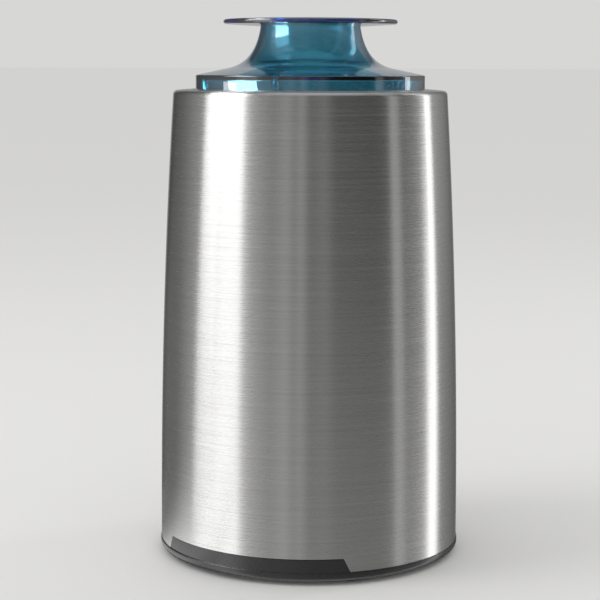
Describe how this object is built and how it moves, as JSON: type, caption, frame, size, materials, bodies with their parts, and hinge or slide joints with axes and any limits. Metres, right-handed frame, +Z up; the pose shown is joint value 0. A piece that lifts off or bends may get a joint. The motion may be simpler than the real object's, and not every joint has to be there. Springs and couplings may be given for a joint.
{
  "type": "electric spice grinder",
  "caption": "Electric spice grinder: tapered brushed-steel body on a dark base, lift-out cup with a blade, and a clear blue mushroom-shaped lid that is pressed down to run it.",
  "frame": {"origin": "centre of the footprint, on the plane of the rubber feet", "axes": "+Z up along the axis of the body; -Y is the front, with the cut-out in the sleeve; +Y is the rear, with the cord inlet"},
  "size_m": [0.1088, 0.1088, 0.1923],
  "materials": {
    "clear_lid": "clear blue-green plastic, polished",
    "seal_rubber": "translucent silicone",
    "sleeve_steel": "stainless sheet brushed round the body",
    "cup_steel": "drawn stainless, satin",
    "blade_steel": "ground stainless",
    "dark_plastic": "satin moulded",
    "frame_plastic": "moulded, plain",
    "black_rubber": "moulded",
    "bronze": "sintered bearing bronze",
    "plain_steel": "turned or pressed steel",
    "lamination": "stacked laminations",
    "copper": "enamelled copper wire",
    "cast_aluminium": "die cast",
    "brass": "folded brass",
    "carbon": "pressed carbon",
    "white_plastic": "moulded nylon",
    "red_plastic": "moulded"
  },
  "bodies": {
    "housing": {"steel_sleeve": "sleeve_steel", "chassis": "frame_plastic", "base": "dark_plastic", "feet": "black_rubber", "base_screws": "plain_steel", "cord_gland": "black_rubber", "stator_core": "lamination", "field_coils": "copper", "upper_bracket": "cast_aluminium", "lower_bracket": "frame_plastic", "upper_bearing": "plain_steel", "lower_bearing": "plain_steel", "motor_screws": "plain_steel", "mount_dampers": "black_rubber", "mount_screws": "plain_steel", "brush_holders": "brass", "carbon_brushes": "carbon", "brush_springs": "plain_steel", "micro_switch": "dark_plastic", "switch_screws": "plain_steel", "carrier_springs": "plain_steel"},
    "carrier": {"press_carrier": "frame_plastic"},
    "cup": {"grinding_cup": "cup_steel", "cup_foot": "dark_plastic", "shaft_bush": "bronze", "shaft_seal": "black_rubber"},
    "blade_set": {"blade": "blade_steel", "blade_shaft": "plain_steel", "blade_spacer": "plain_steel", "blade_nut": "blade_steel", "shaft_clip": "plain_steel", "cup_coupling": "white_plastic"},
    "lid": {"lid_shell": "clear_lid", "lid_seal": "seal_rubber"},
    "rotor": {"armature_core": "lamination", "armature_winding": "copper", "commutator": "copper", "motor_shaft": "plain_steel", "cooling_fan": "white_plastic", "drive_coupling": "white_plastic"},
    "lever": {"switch_lever": "plain_steel"},
    "button": {"switch_button": "red_plastic"}
  },
  "joints": [
    {"name": "lid_press", "type": "slide", "parent": "housing", "child": "carrier", "axis": [0, 0, 1], "range_m": [-0.0025, 0], "stiffness_N_per_m": 1500, "springref_m": 0.006, "deforming": ["carrier_springs"]},
    {"name": "cup_lift", "type": "slide", "parent": "carrier", "child": "cup", "axis": [0, 0, 1], "range_m": [0, 0.075]},
    {"name": "lid_lift", "type": "slide", "parent": "cup", "child": "lid", "axis": [0, 0, 1], "range_m": [0, 0.05]},
    {"name": "motor_spin", "type": "hinge", "parent": "housing", "child": "rotor", "pos_m": [0, 0, 0.05], "axis": [0, 0, 1], "continuous": true},
    {"name": "blade_spin", "type": "hinge", "parent": "cup", "child": "blade_set", "pos_m": [0, 0, 0.12], "axis": [0, 0, 1], "continuous": true},
    {"name": "lever_swing", "type": "hinge", "parent": "housing", "child": "lever", "pos_m": [0.02015, 0.03557, 0.09645], "axis": [0.7071, 0.7071, 0], "range_deg": [0, 7.7]},
    {"name": "button_press", "type": "slide", "parent": "housing", "child": "button", "axis": [0, 0, 1], "range_m": [-0.0011, 0]}
  ],
  "couplings": [
    {"joint": "blade_spin", "follows": "motor_spin", "ratio": 1},
    {"joint": "lever_swing", "follows": "lid_press", "rad_per_m": -53.35},
    {"joint": "button_press", "follows": "lid_press", "ratio": 0.4255}
  ]
}
